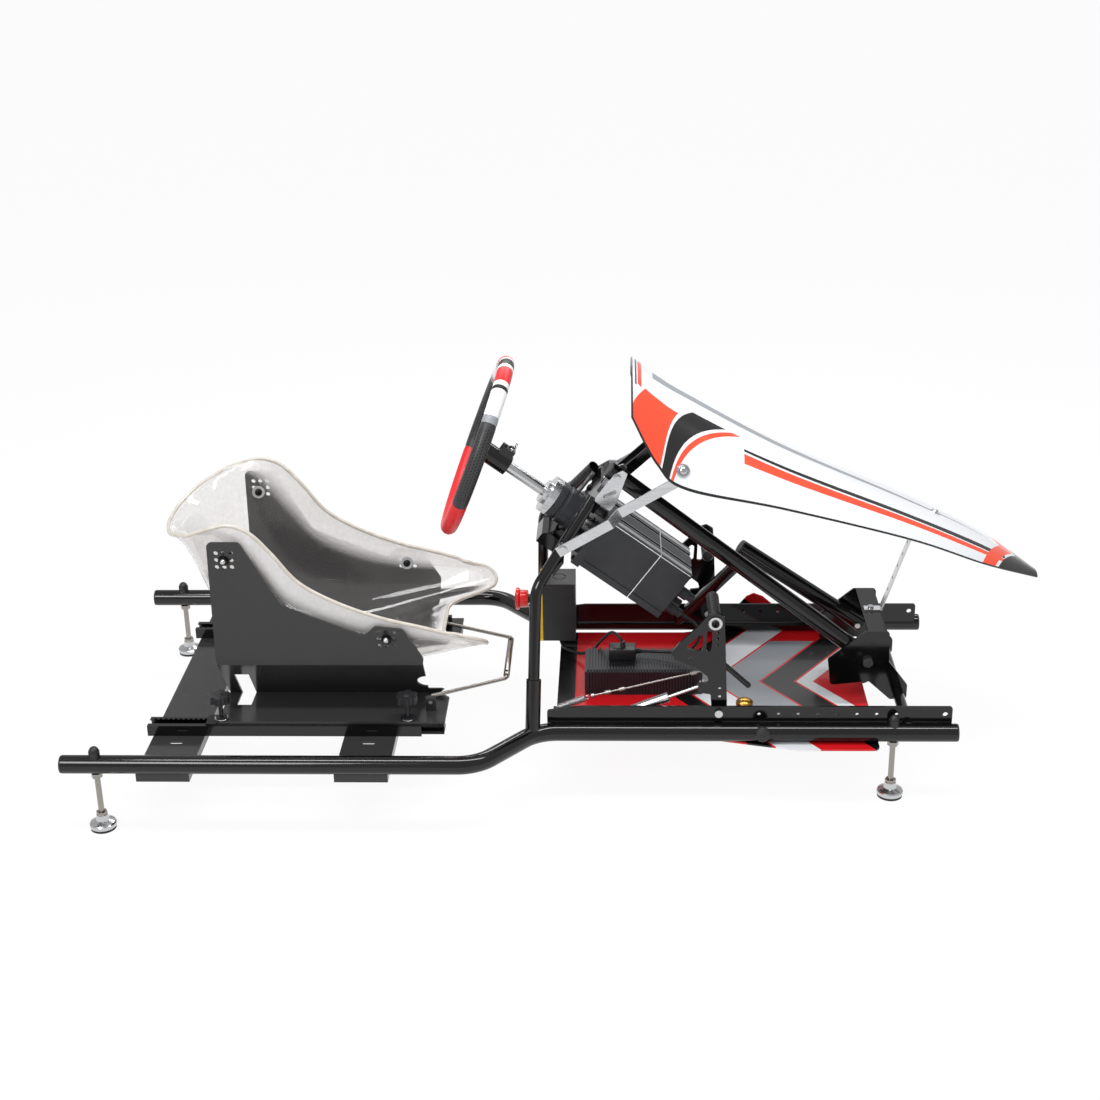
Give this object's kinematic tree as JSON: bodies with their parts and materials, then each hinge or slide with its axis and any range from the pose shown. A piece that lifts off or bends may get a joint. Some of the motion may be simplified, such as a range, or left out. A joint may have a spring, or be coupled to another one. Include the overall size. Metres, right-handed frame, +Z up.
{
  "type": "karting simulator chassis",
  "caption": "Karting simulator chassis with a bucket seat on sliders, direct-drive wheel, throttle and brake pedals, emergency stop and nose fairing",
  "frame": {"origin": "on the floor under the middle of the part", "axes": "+X forward to the nose, +Y to the driver's left, +Z up"},
  "size_m": [1.7029, 0.7258, 0.7328],
  "materials": {
    "black_powder_coat": "satin black powder coat",
    "black_anodised": "black anodised aluminium",
    "zinc_steel": "bright zinc and stainless steel",
    "bare_aluminium": "brushed aluminium",
    "black_plastic": "black moulded plastic",
    "foot_rubber": "black rubber",
    "cable_rubber": "black cable sheath",
    "seat_fibreglass": "translucent fibreglass, gloss gel coat",
    "fairing_gloss": "printed gloss plastic",
    "tray_print": "printed plastic sheet",
    "grip_leather": "sewn leather grip in three colours",
    "estop_yellow": "yellow moulded plastic",
    "estop_red": "red moulded plastic",
    "brass": "turned brass"
  },
  "bodies": {
    "chassis": {"rail_right": "black_powder_coat", "rail_left": "black_powder_coat", "tube_caps": "black_plastic", "rear_cross": "black_powder_coat", "seat_cross": "black_powder_coat", "slider_rails": "black_powder_coat", "upright_right": "black_powder_coat", "upright_left": "black_powder_coat", "steering_plate": "black_powder_coat", "bearing_housing": "black_anodised", "column_bearing": "zinc_steel", "motor_flange": "black_anodised", "motor_body": "black_anodised", "motor_connectors": "black_anodised", "head_side_plates": "bare_aluminium", "strut_right": "black_powder_coat", "strut_left": "black_powder_coat", "front_bracket": "black_powder_coat", "front_cross_tube": "black_powder_coat", "pedal_plate_right": "black_powder_coat", "pedal_plate_left": "black_powder_coat", "floor_tray": "tray_print", "power_supply": "black_anodised", "estop_box": "black_plastic", "estop_lid": "estop_yellow", "fairing": "fairing_gloss", "fairing_straps": "bare_aluminium", "fairing_stays": "black_powder_coat", "fairing_bolts": "zinc_steel", "foot_studs": "zinc_steel", "foot_bases": "zinc_steel", "foot_pads": "foot_rubber", "foot_caps": "black_plastic", "frame_bolts": "zinc_steel", "throttle_sensor": "bare_aluminium", "harness": "cable_rubber", "return_spring": "zinc_steel"},
    "seat_carriage": {"seat_shell": "seat_fibreglass", "seat_bracket_right": "black_powder_coat", "seat_bracket_left": "black_powder_coat", "slider_runners": "zinc_steel", "seat_bolts": "zinc_steel"},
    "slider_lever_body": {"slider_lever": "zinc_steel"},
    "knob_rear_right_body": {"knob_rear_right": "black_plastic"},
    "knob_front_right_body": {"knob_front_right": "black_plastic"},
    "knob_rear_left_body": {"knob_rear_left": "black_plastic"},
    "knob_front_left_body": {"knob_front_left": "black_plastic"},
    "steering": {"wheel_rim": "grip_leather", "wheel_plate": "black_anodised", "wheel_hub": "black_powder_coat", "steering_shaft": "zinc_steel", "shaft_collar": "bare_aluminium"},
    "throttle": {"throttle_arm": "black_powder_coat", "throttle_peg": "black_anodised"},
    "brake": {"brake_arm": "black_powder_coat", "brake_peg": "black_anodised"},
    "sensor_rod_body": {"sensor_rod": "zinc_steel"},
    "throttle_wire_body": {"throttle_wire": "zinc_steel"},
    "estop_button_body": {"estop_button": "estop_red"},
    "stop_knob_body": {"stop_knob": "brass"}
  },
  "joints": [
    {"name": "seat_slide", "type": "slide", "parent": "chassis", "child": "seat_carriage", "axis": [1, 0, 0], "range_m": [-0.1, 0.02]},
    {"name": "slider_release", "type": "hinge", "parent": "seat_carriage", "child": "slider_lever_body", "pos_m": [-0.233, 0, 0.157], "axis": [0, -1, 0], "range_deg": [0, 12], "stiffness_Nm_per_rad": 0.6},
    {"name": "knob_rear_right_turn", "type": "hinge", "parent": "seat_carriage", "child": "knob_rear_right_body", "pos_m": [-0.602, -0.202, 0.165], "axis": [0, 0, 1], "continuous": true},
    {"name": "knob_front_right_turn", "type": "hinge", "parent": "seat_carriage", "child": "knob_front_right_body", "pos_m": [-0.271, -0.202, 0.165], "axis": [0, 0, 1], "continuous": true},
    {"name": "knob_rear_left_turn", "type": "hinge", "parent": "seat_carriage", "child": "knob_rear_left_body", "pos_m": [-0.602, 0.202, 0.165], "axis": [0, 0, 1], "continuous": true},
    {"name": "knob_front_left_turn", "type": "hinge", "parent": "seat_carriage", "child": "knob_front_left_body", "pos_m": [-0.271, 0.202, 0.165], "axis": [0, 0, 1], "continuous": true},
    {"name": "wheel_turn", "type": "hinge", "parent": "chassis", "child": "steering", "pos_m": [-0.149, 0, 0.577], "axis": [0.8039, 0, -0.5948], "continuous": true},
    {"name": "throttle_press", "type": "hinge", "parent": "chassis", "child": "throttle", "pos_m": [0.274, -0.1975, 0.158], "axis": [0, 1, 0], "range_deg": [0, 22], "stiffness_Nm_per_rad": 4},
    {"name": "brake_press", "type": "hinge", "parent": "chassis", "child": "brake", "pos_m": [0.274, 0.1975, 0.158], "axis": [0, 1, 0], "range_deg": [0, 10], "stiffness_Nm_per_rad": 40},
    {"name": "sensor_stroke", "type": "slide", "parent": "chassis", "child": "sensor_rod_body", "axis": [0.9274, 0, 0.3741], "range_m": [0, 0.0195]},
    {"name": "return_pull", "type": "slide", "parent": "chassis", "child": "throttle_wire_body", "axis": [1, 0, 0], "range_m": [0, 0.029], "deforming": ["return_spring"]},
    {"name": "estop_push", "type": "slide", "parent": "chassis", "child": "estop_button_body", "axis": [1, 0, 0], "range_m": [0, 0.005], "stiffness_N_per_m": 900},
    {"name": "stop_knob_turn", "type": "hinge", "parent": "chassis", "child": "stop_knob_body", "pos_m": [0.32, -0.189, 0.15], "axis": [0, 0, 1], "continuous": true}
  ],
  "couplings": [
    {"joint": "sensor_stroke", "follows": "throttle_press", "m_per_rad": 0.04967},
    {"joint": "return_pull", "follows": "throttle_press", "m_per_rad": 0.07396}
  ]
}
